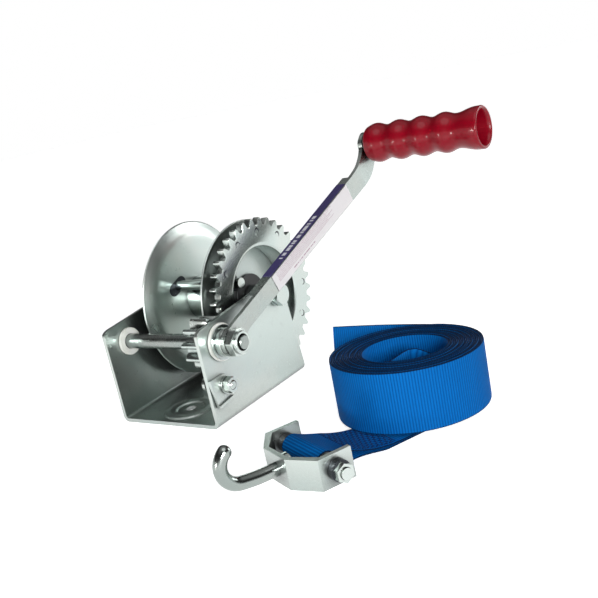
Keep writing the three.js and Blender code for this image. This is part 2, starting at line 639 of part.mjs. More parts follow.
function buildHook(place, z) {
  const inside = -bracket.front + bracket.sheet;
  const [head, neck] = [inside + 8, -bracket.front - hook.straight].map((x) => new THREE.Vector3(x, 0, z));
  const sweep = new UpwardArc(neck, 0, hook.sweep, hook.sweepTurn);
  const bend = new UpwardArc(sweep.getPoint(1), hook.sweepTurn, hook.bend, hook.turn);
  const end = hook.sweepTurn + hook.turn;
  const ahead = new THREE.Vector3(-Math.cos(end), 0, Math.sin(end));
  const tip = bend.getPoint(1).addScaledVector(ahead, hook.tip);
  const straight = new THREE.LineCurve3(head, neck);
  const path = new THREE.CurvePath();
  path.curves.push(straight, sweep, bend, new THREE.LineCurve3(bend.getPoint(1), tip));
  const rod = new THREE.Shape();
  rod.absarc(0, 0, hook.radius, 0, Math.PI * 2, false);
  const options = { extrudePath: path, steps: 44, bevelEnabled: false, curveSegments: 6 };
  add('hook', place(solid(new THREE.ExtrudeGeometry(rod, options))), zinc);
  add('hook_collar', place(ring(inside + 0.4, inside + 6.4, hook.radius + GAP, 9, 0, z, 24)), zinc);
}

buildFrame();
buildDrum();
buildGear();
buildAnchor();
buildAxle();
buildShaft();
buildArm();
buildLabel();
buildGrip();
buildPawl();
buildStrap();
buildBracket();

export default model;
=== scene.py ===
# Hand winch for a boat trailer, rebuilt piece by piece in the order it is put together.
# Metres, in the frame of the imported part: +X along the shafts to the crank, -Y the open front.
import math
import bmesh
import bpy
from mathutils import Matrix, Quaternion, Vector


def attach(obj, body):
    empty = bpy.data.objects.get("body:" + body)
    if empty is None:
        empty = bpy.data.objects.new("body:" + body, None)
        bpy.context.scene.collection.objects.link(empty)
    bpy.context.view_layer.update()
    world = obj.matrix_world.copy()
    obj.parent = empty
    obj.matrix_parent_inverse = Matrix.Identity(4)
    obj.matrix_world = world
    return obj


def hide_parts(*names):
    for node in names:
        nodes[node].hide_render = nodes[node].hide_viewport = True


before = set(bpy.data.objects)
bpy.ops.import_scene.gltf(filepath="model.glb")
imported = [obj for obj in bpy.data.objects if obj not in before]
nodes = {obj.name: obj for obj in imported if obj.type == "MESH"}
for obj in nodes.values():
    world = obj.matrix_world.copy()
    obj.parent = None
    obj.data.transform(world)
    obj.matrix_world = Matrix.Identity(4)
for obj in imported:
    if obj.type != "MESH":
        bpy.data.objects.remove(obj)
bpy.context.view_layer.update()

# ---------------------------------------------------------------- camera
# A short telephoto view of the open front and the crank side, a little from above, held
# so that the winch leans to the left.
camera_data = bpy.data.cameras.new("camera")
camera_data.sensor_width = 36
camera_data.lens = 51.17
camera = bpy.data.objects.new("camera", camera_data)
bpy.context.scene.collection.objects.link(camera)
look = Vector((-0.5827, 0.7732, -0.2504))
lean = Quaternion((0, 0, 1), math.radians(-12.2))
camera.rotation_mode = "QUATERNION"
camera.rotation_quaternion = look.to_track_quat("-Z", "Y") @ lean
camera.location = (0.5468, -0.5649, 0.2780)
bpy.context.scene.camera = camera

# ---------------------------------------------------------------- strap
# Six metres of ribbed polyester webbing, 49 mm wide. Its outer end is cut off square, the
# turns are wound on edge, and the inner end runs out under them to the hook bracket.
mm = 0.001
webbing_width = 49 * mm
webbing_thickness = 1.25 * mm


def swept(name, stations, section, closed_ends=True):
    """Sweeps a closed section of (a, b) points along stations of (centre, A, B).

    A and B are the directions that a and b are measured along; their length scales them.
    The UV map holds the distance along the path and the section's a, both in metres.
    """
    mesh = bpy.data.meshes.new(name)
    body = bmesh.new()
    uv = body.loops.layers.uv.new("along_and_across")
    rings, along = [], [0.0]
    for number, (centre, a_way, b_way) in enumerate(stations):
        if number:
            along.append(along[-1] + (centre - stations[number - 1][0]).length)
        rings.append([body.verts.new(centre + a_way * a + b_way * b) for a, b in section])
    for number in range(len(rings) - 1):
        near, far = rings[number], rings[number + 1]
        for i in range(len(section)):
            j = (i + 1) % len(section)
            face = body.faces.new((near[i], near[j], far[j], far[i]))
            places = [(along[number], section[i][0]), (along[number], section[j][0]),
                      (along[number + 1], section[j][0]), (along[number + 1], section[i][0])]
            for loop, place in zip(face.loops, places):
                loop[uv].uv = place
    if closed_ends:
        body.faces.new(rings[0])
        body.faces.new(list(reversed(rings[-1])))
    bmesh.ops.recalc_face_normals(body, faces=body.faces)
    body.to_mesh(mesh)
    body.free()
    piece = bpy.data.objects.new(name, mesh)
    bpy.context.scene.collection.objects.link(piece)
    smooth(piece)
    return piece, along[-1]


def smooth(piece, angle=40):
    """Smooth shading that keeps the edges sharper than an angle in degrees."""
    piece.data.shade_smooth()
    piece.data.set_sharp_from_angle(angle=math.radians(angle))


def webbing_section(width=webbing_width, thickness=webbing_thickness):
    """Section of the woven strip: flat faces with rounded, slightly thinner selvedges."""
    half, face, edge = width / 2, thickness / 2, 0.3 * thickness
    return [(-half, -edge), (-half, edge), (-half + 1.2 * mm, face), (half - 1.2 * mm, face),
            (half, edge), (half, -edge), (half - 1.2 * mm, -face), (-half + 1.2 * mm, -face)]


roll_centre = Vector((215, -2, 0)) * mm
roll_outer, roll_inner = 62.2 * mm, 34.2 * mm
roll_turns = 19.5
steps_per_turn = 72
tail_steps = 24
roll_tilt = Matrix.Rotation(math.radians(-2.2), 4, "X")
roll_pivot = roll_centre + Vector((0, 61 * mm, 0.4 * mm))


def tilted(point):
    """Leans a point of the upright roll back, its front raised over the run beneath."""
    return roll_pivot + roll_tilt @ (point - roll_pivot)


def wound(turn):
    """Centre and outward direction of the roll's spiral after some turns from the outside."""
    angle = math.pi / 2 - turn * 2 * math.pi
    out = Vector((math.cos(angle), math.sin(angle), 0))
    squeeze = 0.5 * mm * math.sin(2 * angle + 0.6) + 0.25 * mm * math.sin(3 * angle)
    radius = roll_outer + (roll_inner - roll_outer) * turn / roll_turns + squeeze
    edge_height = 0.35 * mm * math.sin(turn * 2.3) + webbing_width / 2 + 0.4 * mm
    return roll_centre + out * radius + Vector((0, 0, edge_height)), out


def roll_stations():
    """From the cut outer end, along the loose tail, then round and round to the inside."""
    up = roll_tilt.to_3x3() @ Vector((0, 0, 1))
    first, _ = wound(0)
    ways = []
    tail = [Vector((-107, 56.6, 24.9)), Vector((-75, 59.7, 24.9)), Vector((-42, 63.4, 24.9))]
    tail = [roll_centre + p * mm for p in tail] + [first]
    for step in range(tail_steps):
        t = step / tail_steps
        weights = ((1 - t) ** 3, 3 * t * (1 - t) ** 2, 3 * t * t * (1 - t), t ** 3)
        point = sum((p * w for p, w in zip(tail, weights)), Vector())
        slant = Vector((0.16 * (1 - t) ** 2, 0, 1))
        ways.append((point, slant.lerp(up, t), Vector((0, 1, 0))))
    for step in range(int(roll_turns * steps_per_turn) + 1):
        point, out = wound(step / steps_per_turn)
        ways.append((tilted(point), up, roll_tilt.to_3x3() @ out))
    return ways


strap, strap_length = swept("strap_webbing", roll_stations(), webbing_section())

# The run to the hook. It is doubled over a nylon sleeve on the clevis bolt and sewn to
# itself; its other layer goes on under the turns and folds up into the inside of the roll.
clevis = Vector((186, -114, 12)) * mm
run_heading = math.radians(65)
on_bracket = Matrix.Translation(clevis) @ Matrix.Rotation(run_heading, 4, "Z")


def curve(points, steps):
    """Points of a Bezier curve through any number of handles."""
    found = []
    for step in range(steps + 1):
        rest = list(points)
        while len(rest) > 1:
            rest = [a.lerp(b, step / steps) for a, b in zip(rest, rest[1:])]
        found.append(rest[0])
    return found


def run_side_view():
    """The run in its own upright plane, as points (along, height) from the clevis bolt."""
    flat = lambda *pairs: [Vector((x, z, 0)) * mm for x, z in pairs]
    round_sleeve = [Vector((math.cos(a), math.sin(a), 0)) * 8.7 * mm
                    for a in (math.radians(-60 - 6 * i) for i in range(41))]
    lower = curve(flat((104, -10.9), (90, -10.9), (75, -10.9), (54, -10.9)), 10)
    lower += curve(flat((52, -10.8), (42, -9.8), (24, -2.9), (14, -7.8), (6, -7.6)), 24)
    upper = curve(flat((6.5, 6.4), (14, 3), (20, 1.2), (26, -0.9)), 10)
    upper += curve(flat((27, -1.4), (42, -7.6), (54, -9.4), (62, -9.45), (80, -9.45)), 20)
    return lower, round_sleeve, upper


def run_stations():
    """The flat run and its loop, with the strip's width across the bracket."""
    lower, round_sleeve, upper = run_side_view()
    points = lower + round_sleeve + upper
    across = on_bracket.to_3x3() @ Vector((0, 1, 0))
    ways = []
    for number, point in enumerate(points):
        before, after = points[max(number - 1, 0)], points[min(number + 1, len(points) - 1)]
        along = on_bracket.to_3x3() @ Vector((after.x - before.x, 0, after.y - before.y))
        centre = on_bracket @ Vector((point.x, 0, point.y))
        ways.append((centre, across, across.cross(along.normalized())))
    return ways


def fold_stations():
    """Inside the roll the lower layer turns up on the bias and joins the innermost turn."""
    start = on_bracket @ Vector((104 * mm, 0, -10.9 * mm))
    along = on_bracket.to_3x3() @ Vector((1, 0, 0))
    across = on_bracket.to_3x3() @ Vector((0, 1, 0))
    up = Vector((0, 0, 1))
    at = lambda x, y, z: roll_centre + Vector((x, y, z)) * mm
    wall = [at(4, 1, 26), at(2, -8, 27), at(1, -20, 26), at(-1, -30.5, 26)]
    turn = [start, start + along * 12 * mm + up * 1 * mm, at(22, 10, 20), wall[0]]
    turn_steps, wall_steps = 20, 14
    points = curve(turn, turn_steps) + curve(wall, wall_steps)[1:]
    ways = []
    for number, point in enumerate(points):
        t = min(1, number / turn_steps)
        risen = t * t * (3 - 2 * t)
        before, after = points[max(number - 1, 0)], points[min(number + 1, len(points) - 1)]
        way = (after - before).normalized()
        side = across.lerp(up, risen)
        side = (side - way * side.dot(way)).normalized()
        ways.append((point, side, side.cross(way)))
    return list(reversed(ways))


whole_run = fold_stations() + run_stations()[1:]
run, run_length = swept("strap_run_webbing", whole_run, webbing_section())


def stitch_lines():
    """The sewn box filled with zigzags, as lines of (along, across) on the doubled run, in mm."""
    near, far, side = 22, 62, 22
    box = [(near, -side), (far, -side), (far, side), (near, side), (near, -side)]
    rows, corners, step = 5, 11, 4
    height = 2 * side / rows
    zigzag = []
    for row in range(rows):
        low = -side + row * height
        for first in (0, 1):
            zigzag.append([(near + step * i, low + (i + first) % 2 * height) for i in range(corners)])
    return [box, *zigzag]


def top_of_run(along):
    """Height of the upper layer's face over the clevis bolt's level, and its slope, in mm."""
    upper = [p / mm for p in run_side_view()[2]]
    for near, far in zip(upper, upper[1:]):
        if near.x <= along <= far.x:
            slope = (far.y - near.y) / (far.x - near.x)
            return near.y + slope * (along - near.x) + 0.6, slope
    return upper[-1].y + 0.6, 0


def bead():
    """The shape of one stitch, of unit length and radius, as its points and faces."""
    body = bmesh.new()
    bmesh.ops.create_uvsphere(body, u_segments=8, v_segments=5, radius=1)
    body.verts.index_update()
    points = [vertex.co.copy() for vertex in body.verts]
    faces = [[vertex.index for vertex in face.verts] for face in body.faces]
    body.free()
    return points, faces


def stitches():
    """Thread lying on the webbing, one small raised bead for each stitch."""
    shape, shape_faces = bead()
    pitch, length, radius = 2.4, 2.2, 0.45
    size = Matrix.Diagonal((length / 2 * mm, radius * mm, radius * mm, 1))
    points, faces = [], []
    for line in stitch_lines():
        for (x0, y0), (x1, y1) in zip(line, line[1:]):
            span = math.hypot(x1 - x0, y1 - y0)
            turn = Matrix.Rotation(math.atan2(y1 - y0, x1 - x0), 4, "Z")
            for i in range(int(span / pitch)):
                t = (i + 0.5) * pitch / span
                along, across = x0 + (x1 - x0) * t, y0 + (y1 - y0) * t
                height, slope = top_of_run(along)
                place = Matrix.Translation(Vector((along, across, height)) * mm)
                lie = Matrix.Rotation(-math.atan(slope), 4, "Y")
                faces += [[corner + len(points) for corner in face] for face in shape_faces]
                put = on_bracket @ place @ lie @ turn @ size
                points += [put @ point for point in shape]
    mesh = bpy.data.meshes.new("strap_stitches")
    mesh.from_pydata(points, [], faces)
    piece = bpy.data.objects.new("strap_stitches", mesh)
    bpy.context.scene.collection.objects.link(piece)
    smooth(piece, 60)
    return piece


stitching = stitches()


class Wire:
    """An output of a shader node. Sums on wires, and on wires and numbers, add Math nodes."""

    def __init__(self, finish, socket):
        self.finish, self.socket = finish, socket

    def math(self, operation, *values):
        return self.finish.node("ShaderNodeMath", {"operation": operation}, dict(enumerate(values)))

    def __add__(self, other):
        return self.math("ADD", self, other)

    def __sub__(self, other):
        return self.math("SUBTRACT", self, other)

    def __rsub__(self, other):
        return self.math("SUBTRACT", other, self)

    def __mul__(self, other):
        return self.math("MULTIPLY", self, other)

    def __pow__(self, other):
        return self.math("POWER", self, other)

    def __rpow__(self, other):
        return self.math("POWER", other, self)

    def __gt__(self, other):
        return self.math("GREATER_THAN", self, other)

    def __lt__(self, other):
        return self.math("LESS_THAN", self, other)

    def __abs__(self):
        return self.math("ABSOLUTE", self)

    __radd__, __rmul__ = __add__, __mul__

    def sine(self):
        return self.math("SINE", self)

    def step(self, low, high):
        """0 below low, 1 above high, and smooth between them."""
        return self.finish.node(
            "ShaderNodeMapRange", {"interpolation_type": "SMOOTHSTEP"},
            {"Value": self, "From Min": low, "From Max": high})


def pick(sockets, key):
    """A socket by its place in the list, its name or its identifier."""
    if isinstance(key, int):
        return sockets[key]
    return next(s for s in sockets if key in (s.identifier, s.name))


class Finish:
    """A material with one Principled shader; its constants are set on the shader itself."""

    def __init__(self, name, constants):
        self.material = bpy.data.materials.new(name)
        self.material.use_nodes = True
        self.tree = self.material.node_tree
        self.shader = self.tree.nodes["Principled BSDF"]
        for socket, value in constants.items():
            self.shader.inputs[socket].default_value = value

    def node(self, kind, settings, inputs, output=0):
        """Adds a node: its settings first, then a value or a wire for each input."""
        node = self.tree.nodes.new(kind)
        for setting, value in settings.items():
            if setting == "stops":
                for stop, (place, color) in enumerate(value):
                    ramp = node.color_ramp.elements
                    element = ramp[stop] if stop < len(ramp) else ramp.new(place)
                    element.position, element.color = place, (*color, 1)
            else:
                setattr(node, setting, value)
        for key, value in inputs.items():
            self.connect(value, pick(node.inputs, key))
        return Wire(self, pick(node.outputs, output))

    def connect(self, value, socket):
        if isinstance(value, Wire):
            self.tree.links.new(value.socket, socket)
        else:
            socket.default_value = value

    def feed(self, **values):
        """Feeds the shader, for example feed(Base_Color=wire)."""
        for name, value in values.items():
            self.connect(value, self.shader.inputs[name.replace("_", " ")])

    def place(self):
        """The point on the piece, in metres, in the part's own frame."""
        return self.node("ShaderNodeTexCoord", {}, {}, "Object")

    def parts(self, vector):
        """The three numbers of a vector."""
        split = self.node("ShaderNodeSeparateXYZ", {}, {"Vector": vector})
        return [Wire(self, socket) for socket in split.socket.node.outputs]

    def stretched(self, vector, scale):
        return self.node("ShaderNodeVectorMath", {"operation": "MULTIPLY"}, {0: vector, 1: scale})

    def noise(self, scale, detail=2, vector=None, roughness=0.5):
        """Cloudy variation from 0 to 1, with features of 1 / scale metres."""
        return self.node(
            "ShaderNodeTexNoise", {},
            {"Vector": vector or self.place(), "Scale": scale, "Detail": detail, "Roughness": roughness})

    def mix(self, factor, first, second):
        """One colour turning into another."""
        return self.node(
            "ShaderNodeMix", {"data_type": "RGBA"},
            {"Factor_Float": factor, "A_Color": first, "B_Color": second}, "Result_Color")

    def raise_surface(self, height, distance):
        """Relief: a height from 0 to 1 stands for that distance in metres."""
        return self.node("ShaderNodeBump", {}, {"Height": height, "Distance": distance})


def paint(piece, finish):
    piece.data.materials.clear()
    piece.data.materials.append(finish.material)


def woven(name, tint, shade):
    """Webbing: ribs across the width, each made of many warp threads, in dyed polyester; painted shade
    darkens the grooves between them and the edges of the strip.
    """
    finish = Finish(name, {"Specular IOR Level": 0.06})
    along, across, _ = finish.parts(finish.node("ShaderNodeUVMap", {}, {}))
    rib = (along * (2 * math.pi / (2.2 * mm))).sine() * 0.5 + 0.5
    warp = (across * (2 * math.pi / (0.9 * mm))).sine() * 0.5 + 0.5
    fray = finish.noise(900, 3)
    wear = finish.noise(14, 3)
    selvedge = abs(across).step(22.6 * mm, 23.4 * mm)
    height = rib * 0.75 + warp * 0.15 + fray * 0.1 - selvedge * rib * 0.3
    # Painted shade: the grooves between ribs and between warp threads are darker, with random fibre tone on
    # top.
    depth = rib ** 0.5 * 0.6 + warp * 0.15 + fray * 0.25
    color = finish.mix(depth * (0.75 + wear * 0.5), shade, tint)
    # Painted shade: the selvedges and the strip's cut faces turn near-black navy.
    edge_shade = tuple(0.12 * part for part in shade[:3]) + (1,)
    color = finish.mix(abs(across).step(23.6 * mm, 24.3 * mm) * 0.9, color, edge_shade)
    finish.feed(
        Base_Color=color, Roughness=0.62 + fray * 0.25,
        Normal=finish.raise_surface(height, 0.35 * mm))
    return finish


blue_webbing = woven("webbing_blue", (0.001, 0.16, 0.54, 1), (0.0005, 0.035, 0.15, 1))
for piece in (strap, run):
    piece.visible_glossy = False      # keeps a blue cast off the plated steel beside it
    paint(piece, blue_webbing)
    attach(piece, "strap")


def thread(name):
    """Twisted sewing thread in the same dye, much darker."""
    finish = Finish(name, {"Specular IOR Level": 0.08})
    twist = finish.noise(2500, 2)
    color = finish.mix(twist, (0.0005, 0.008, 0.05, 1), (0.002, 0.03, 0.13, 1))
    finish.feed(
        Base_Color=color, Roughness=0.4 + twist * 0.3, Normal=finish.raise_surface(twist, 0.1 * mm))
    return finish


paint(stitching, thread("sewing_thread"))
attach(stitching, "strap")
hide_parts("strap_roll", "strap_tail")
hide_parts("strap_run")

# ---------------------------------------------------------------- frame
# One piece of 3.5 mm steel sheet, cut out, pressed round the front hole, bent up into two
# cheeks and zinc plated all over, which leaves it bright with faint clouds and scuffs.


def plated(name, roughness=0.2, grain=(1, 1, 1), shade_reach=0.02, depth=0.6, level=1.0):
    """Bright zinc: cold and warm clouds, rolling grain, and fine scuffs that dull the gloss.

    Painted shade darkens it by `depth` wherever other surfaces are nearer than the reach given in metres,
    and a `level` below 1 darkens all of its colours, a shaded copy of the same zinc.
    """
    # A level below 1 is painted shade: every colour is darkened, a shaded copy of the same zinc.
    shades = (0.53, 0.6, 0.575), (0.56, 0.6, 0.57), (0.42, 0.46, 0.45)
    cold, warm, scuffed = [tuple(level * part for part in shade) + (1,) for shade in shades]
    finish = Finish(name, {"Metallic": 1.0})
    where = finish.place()
    clouds = finish.noise(24, 3)
    rolled = finish.noise(60, 4, finish.stretched(where, grain), 0.65)
    pits = finish.noise(1400, 2)
    scuffs = finish.noise(55, 6, roughness=0.75).step(0.56, 0.7)
    shade_openness = finish.node("ShaderNodeAmbientOcclusion", {"samples": 6}, {"Distance": shade_reach}, "AO")
    color = finish.mix(clouds.step(0.35, 0.7), cold, warm)
    color = finish.mix(scuffs * 0.25, color, scuffed)
    # Painted shade: the colour turns almost black, by `depth`, where ambient occlusion finds other surfaces
    # close by.
    color = finish.mix((1 - shade_openness.step(0.05, 0.85)) * depth, color, (0.05, 0.05, 0.055, 1))
    gloss = roughness * 0.6 + rolled * roughness * 0.6 + scuffs * 0.1 + pits * 0.04
    finish.feed(
        Base_Color=color, Roughness=gloss,
        Normal=finish.raise_surface(rolled * 0.6 + pits * 0.4, 0.04 * mm))
    return finish


def eased(piece, width, segments=2, angle=35):
    """Flat faces merged, edges rounded to a small radius, and clean shading between them."""
    merge = piece.modifiers.new("merge flats", "DECIMATE")
    merge.decimate_type = "DISSOLVE"
    merge.angle_limit = math.radians(0.5)
    bevel = piece.modifiers.new("eased edges", "BEVEL")
    bevel.width = width
    bevel.segments = segments
    bevel.limit_method = "ANGLE"
    bevel.angle_limit = math.radians(angle)
    bevel.harden_normals = True
    smooth(piece, angle)


# A wide reach and a strong painted shade darken the frame's inside near the drum and the cheeks.
sheet_finish = plated("zinc_sheet", 0.32, (1, 9, 9), 0.06, 0.85)
paint(nodes["frame"], sheet_finish)
eased(nodes["frame"], 0.4 * mm)

# ---------------------------------------------------------------- drum
# Two dished flanges are pressed from sheet and welded to a tube, and black nylon bushes
# are pushed into its ends.
drum_axis = Matrix.Translation(Vector((0, 47.5, 85)) * mm)


def rounded(outline, radius, steps=3):
    """A closed outline with its corners turned into short curves; the axis stays sharp."""
    found = []
    for number, (x, r) in enumerate(outline):
        if r < 0.01:
            found.append((x, r))
            continue
        corner = Vector((x, r))
        before = Vector(outline[number - 1]) - corner
        after = Vector(outline[(number + 1) % len(outline)]) - corner
        start = corner + before.normalized() * min(radius, before.length * 0.45)
        end = corner + after.normalized() * min(radius, after.length * 0.45)
        for step in range(steps + 1):
            t = step / steps
            point = start * (1 - t) ** 2 + corner * 2 * t * (1 - t) + end * t * t
            found.append((point.x, point.y))
    return found


def turned(name, outline, place, segments=96, angle=30):
    """Turns a closed outline of (along, radius) in mm about X, then moves it into place.

    The outline may be a function of the angle, for pieces such as nuts and toothed wheels.
    """
    outline_at = outline if callable(outline) else lambda turn: outline
    body = bmesh.new()
    rings = []
    for segment in range(segments):
        turn = segment * 2 * math.pi / segments
        ways = Vector((0, math.cos(turn), math.sin(turn)))
        rings.append([body.verts.new((Vector((x, 0, 0)) + ways * r) * mm) for x, r in outline_at(turn)])
    for segment, ring in enumerate(rings):
        following = rings[(segment + 1) % segments]
        for i in range(len(ring)):
            j = (i + 1) % len(ring)
            body.faces.new((ring[i], ring[j], following[j], following[i]))
    bmesh.ops.remove_doubles(body, verts=body.verts, dist=1e-6)
    bmesh.ops.dissolve_degenerate(body, edges=body.edges, dist=1e-7)
    bmesh.ops.recalc_face_normals(body, faces=body.faces)
    mesh = bpy.data.meshes.new(name)
    body.to_mesh(mesh)
    body.free()
    piece = bpy.data.objects.new(name, mesh)
    bpy.context.scene.collection.objects.link(piece)
    mesh.transform(place)
    smooth(piece, angle)
    return piece


def fitted(piece, body, finish, slot, *replaced):
    """Paints a piece, hangs it on its body and hides the CAD nodes that it stands for."""
    paint(piece, finish)
    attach(piece, body)
    if replaced:
        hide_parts(*replaced)
    return piece


def flange(inside, side, rim, flare):
    """Outline of a flange: flat in the middle, flaring away from the strap, rim curled."""
    sheet = 2
    start = rim - 19
    inner_face = [(0, 19), (0, start)] + [
        (flare * (1 - math.cos(math.pi / 2 * t)) ** 1.1, start + 17.6 * t) for t in (0.25, 0.5, 0.75, 0.95)]
    edge = [(flare + sheet * 0.1, rim - 0.6), (flare + sheet * 0.5, rim), (flare + sheet, rim - 0.7)]
    outer_face = [(x + sheet * 1.02, r - 0.9) for x, r in reversed(inner_face[2:])]
    outer_face += [(sheet, start), (sheet, 19)]
    return [(inside + side * x, r) for x, r in inner_face + edge + outer_face]


drum_left, drum_right = -34.5, 26
turned_finish = plated("zinc_turned", 0.17, (9, 1, 1), 0.012, 0.75)
dished_finish = plated("zinc_pressed", 0.32, (1, 1, 1), 0.05, 0.75)
for name, outline in (("drum_flange_left", flange(drum_left, -1, 77, 4.5)),
                      ("drum_flange_right", flange(drum_right, 1, 73.5, 3.5))):
    pressed = turned(f"{name}_pressed", rounded(outline, 0.3, 1), drum_axis, 144)
    fitted(pressed, "drum", dished_finish, "zinc_plate", name)
hub = [(drum_left + 0.2, 19), (drum_right - 0.2, 19), (drum_right - 0.2, 22), (drum_left + 0.2, 22)]
hub_tube = turned("drum_hub_tube", rounded(hub, 0.5), drum_axis)
fitted(hub_tube, "drum", turned_finish, "zinc_plate", "drum_hub")


def moulded(name, tint=(0.8, 0.81, 0.77), shade=(0.66, 0.67, 0.62)):
    """Nylon, white unless dyed: slightly translucent, with a silky surface and faint flow marks."""
    finish = Finish(name, {"Subsurface Weight": 0.12, "Subsurface Radius": (0.004, 0.004, 0.003)})
    flow = finish.noise(110, 3)
    grain = finish.noise(2200, 2)
    finish.feed(
        Base_Color=finish.mix(flow.step(0.3, 0.75), (*tint, 1), (*shade, 1)),
        Roughness=0.34 + grain * 0.2, Normal=finish.raise_surface(flow * 0.3 + grain * 0.7, 0.03 * mm))
    return finish


nylon = moulded("nylon_white")
black_nylon = moulded("nylon_black", (0.02, 0.021, 0.023), (0.012, 0.012, 0.013))
for name in ("hub_bush_left", "hub_bush_right"):
    paint(nodes[name], black_nylon)
    eased(nodes[name], 0.3 * mm)

# ---------------------------------------------------------------- drum gear
# The ring gear is blanked from 7 mm plate around a drawn cup wall, and rivets hold it to
# the right flange. A bolt across the drum holds the strap's inner end.
gear_teeth, gear_module = 36, 3.95
mesh_line = math.atan2(71.5 - 85, -42.34 - 47.5)


def tooth_half_width(radius, teeth, backlash=0.35, pressure=math.radians(25)):
    """Half the angle that an involute tooth takes up at a radius in mm."""
    involute = lambda a: math.tan(a) - a
    pitch_radius = teeth * gear_module / 2
    base = pitch_radius * math.cos(pressure)
    lean = involute(math.acos(min(1, base / max(radius, base))))
    return math.pi / 2 / teeth - backlash / pitch_radius + involute(pressure) - lean


def tooth_radius(turn, teeth, phase, rounding=0.35):
    """Outside radius of a toothed wheel at an angle, its tooth corners slightly rounded."""
    pitch_radius = teeth * gear_module / 2
    tip, root = pitch_radius + 0.8 * gear_module, pitch_radius - 0.93 * gear_module
    step = 2 * math.pi / teeth
    off = abs((turn - phase + step / 2) % step - step / 2)
    if off <= tooth_half_width(tip, teeth):
        return tip - rounding * (off / tooth_half_width(tip, teeth)) ** 6
    if off >= tooth_half_width(root, teeth):
        return root
    low, high = root, tip
    for _ in range(24):
        middle = (low + high) / 2
        low, high = (middle, high) if tooth_half_width(middle, teeth) > off else (low, middle)
    return low


def gear_outline(turn):
    """The gear's section at an angle, from the cup wall's foot to its teeth."""
    tip = tooth_radius(turn, gear_teeth, mesh_line)
    return [(28.3, 47), (45, 47), (47.2, 47.4), (48.2, 48.6), (48.5, 50.2), (48.5, 51),
            (48.5, tip - 1.4), (48.5, tip - 0.6), (48.3, tip - 0.15), (47.9, tip),
            (42.1, tip), (41.7, tip - 0.15), (41.5, tip - 0.6),
            (41.5, 53), (40, 51.2), (38, 50.2), (28.3, 50)]


def blackened(name):
    """Oiled black steel: deep blue-black, lighter where corners have rubbed."""
    finish = Finish(name, {"Metallic": 1.0})
    oil = finish.noise(160, 4)
    rub = finish.noise(420, 4).step(0.58, 0.75)
    color = finish.mix(oil, (0.03, 0.032, 0.038, 1), (0.08, 0.085, 0.095, 1))
    finish.feed(
        Base_Color=finish.mix(rub * 0.5, color, (0.22, 0.23, 0.24, 1)),
        Roughness=0.28 + oil * 0.2, Normal=finish.raise_surface(oil, 0.05 * mm))
    return finish


black_steel = blackened("steel_blackened")
machined = plated("zinc_gear", 0.24, (1, 1, 1), 0.012, 0.97)
gear_ring = turned("drum_gear_ring", gear_outline, drum_axis, gear_teeth * 30)
fitted(gear_ring, "drum", machined, "zinc_plate", "drum_gear")
for number in range(1, 7):
    paint(nodes[f"gear_rivet_{number}"], machined)
    eased(nodes[f"gear_rivet_{number}"], 0.1 * mm)


def stake_stations(turn, radius):
    """The shade in a crescent dent left by the staking punch, painted as a thin dark strip laid on the
    gear's face.
    """
    gear_face, crescent = 48.52, 3
    middle = Vector((gear_face, radius * math.cos(turn), radius * math.sin(turn)))
    out = Vector((0, math.cos(turn), math.sin(turn)))
    side = Vector((0, -out.z, out.y))
    ways = []
    for step in range(13):
        bend = math.radians(-100 + 200 * step / 12)
        size = 0.25 + 0.75 * math.cos(bend * 0.9) ** 2
        way = out * math.cos(bend) + side * math.sin(bend)
        point = drum_axis @ ((middle + way * crescent) * mm)
        ways.append((point, Vector((1, 0, 0)), way * size))
    return ways


# Every 30 degrees the punch has closed the plate on the cup wall; the shade in each dent is painted.
stake_circle = 61
strip = [(-0.1 * mm, -0.9 * mm), (0.08 * mm, -0.7 * mm), (0.08 * mm, 0.7 * mm), (-0.1 * mm, 0.9 * mm)]
for number in range(12):
    stations = stake_stations(math.radians(30 * number - 6), stake_circle)
    mark, _ = swept(f"stake_dent_shade_{number + 1}", stations, strip)
    fitted(mark, "drum", black_steel, "dark_steel")


def hexagon(turn, flats, phase):
    """Distance from the middle of a hexagon to its side at an angle."""
    step = math.pi / 3
    return flats / 2 / math.cos((turn - phase + step / 2) % step - step / 2)


def nut(name, start, end, flats, bore, place, phase=0.0):
    """A hexagon nut: chamfered corners on both ends and a countersunk bore."""
    def outline(turn):
        face = flats / 2 * 0.96
        reach = hexagon(turn, flats, phase) - 0.15
        slope = (reach - face) * 0.5
        return [(start + 0.6, bore), (start, bore + 0.7), (start, face), (start + slope, reach),
                (end - slope, reach), (end, face), (end, bore + 0.7), (end - 0.6, bore)]
    return turned(name, outline, place, 96, 25)


anchor_axis = Matrix.Translation(Vector((0, 19, 106)) * mm)
fitted(nut("anchor_nut_hex", 28.3, 36.3, 15, 5.3, anchor_axis, 0.2), "drum", black_steel, "dark_steel",
       "anchor_nut")
paint(nodes["anchor_bolt"], turned_finish)
eased(nodes["anchor_bolt"], 0.3 * mm)

# The bolt's hole in the left flange is a slot; the shade inside it is painted as a thin dark plate with
# round ends on the flange's face.
end_radius, end_height = 6.6, 6.0
slot_outline = []
for step in range(32):
    turn = step * math.pi / 16
    shift = 4.5 if math.cos(turn) > 0 else -6.5
    slot_outline.append(((end_radius * math.cos(turn) + shift) * mm, end_height * math.sin(turn) * mm))
slot_ways = [(anchor_axis @ (Vector((x, 0, 0)) * mm), Vector((0, 1, 0.35)), Vector((0, -0.35, 1)))
             for x in (-34.5, -34.35)]
slot_shade_plate, _ = swept("anchor_slot_shade", slot_ways, slot_outline)
fitted(slot_shade_plate, "drum", black_steel, "dark_steel")

